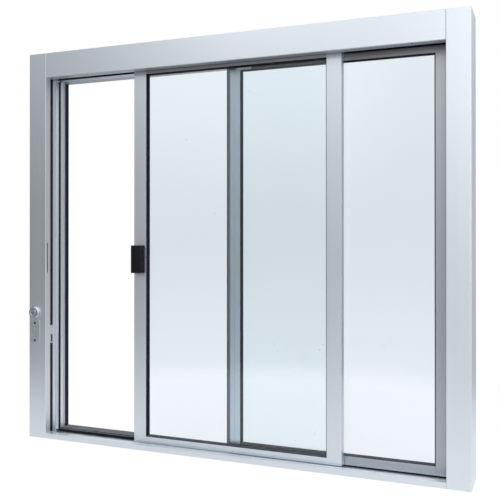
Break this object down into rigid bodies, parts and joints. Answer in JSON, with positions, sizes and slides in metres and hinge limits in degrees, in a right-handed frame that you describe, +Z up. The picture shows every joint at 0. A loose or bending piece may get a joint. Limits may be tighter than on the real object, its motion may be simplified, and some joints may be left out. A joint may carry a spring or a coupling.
{
  "type": "sliding service window",
  "caption": "Aluminium sliding service window: glazed sliding panel half open over a fixed panel, black pull, key lock with indicator.",
  "frame": {"origin": "middle of the underside of the sill", "axes": "+X to the right seen from the serving side, +Y from the serving side to the back, +Z up"},
  "size_m": [1.219, 0.114, 1.092],
  "materials": {
    "anodised_aluminium": "satin clear anodised",
    "clear_glass": "polished",
    "black_rubber": "matte",
    "black_pile": "brushed pile",
    "grey_pile": "brushed pile",
    "black_plastic": "fine moulded texture",
    "lock_steel": "satin",
    "zinc_steel": "zinc plated",
    "white_nylon": "smooth",
    "green_flag": "smooth"
  },
  "bodies": {
    "root": {"left_jamb": "anodised_aluminium", "right_jamb": "anodised_aluminium", "header_cover": "anodised_aluminium", "header_top": "anodised_aluminium", "header_box": "anodised_aluminium", "sill": "anodised_aluminium", "left_jamb_weatherstrip": "black_rubber", "right_jamb_weatherstrip": "black_rubber", "left_sill_stop": "anodised_aluminium", "right_sill_stop": "anodised_aluminium", "left_head_stop": "anodised_aluminium", "right_head_stop": "anodised_aluminium", "left_jamb_stop": "anodised_aluminium", "right_jamb_stop": "anodised_aluminium", "stop_pile": "black_pile", "stop_gasket": "black_rubber", "sash_lock_stile": "anodised_aluminium", "sash_meeting_stile": "anodised_aluminium", "sash_top_rail": "anodised_aluminium", "sash_bottom_rail": "anodised_aluminium", "sash_glass": "clear_glass", "sash_front_gasket": "black_rubber", "sash_rear_gasket": "black_rubber", "sash_hangers": "zinc_steel", "sash_rollers": "white_nylon", "head_track": "anodised_aluminium", "pull_handle": "black_plastic", "fixed_meeting_stile": "anodised_aluminium", "fixed_jamb_stile": "anodised_aluminium", "fixed_top_rail": "anodised_aluminium", "fixed_bottom_rail": "anodised_aluminium", "fixed_glass": "clear_glass", "fixed_front_gasket": "black_rubber", "fixed_rear_gasket": "black_rubber", "fixed_foot_seal": "black_rubber", "fixed_head_seal": "black_rubber", "meeting_pile": "grey_pile", "head_guide": "white_nylon", "lock_cylinder": "lock_steel", "cylinder_plug": "lock_steel", "indicator_plate": "lock_steel", "indicator_flag": "green_flag", "lock_bolt_plate": "lock_steel"}
  },
  "joints": []
}
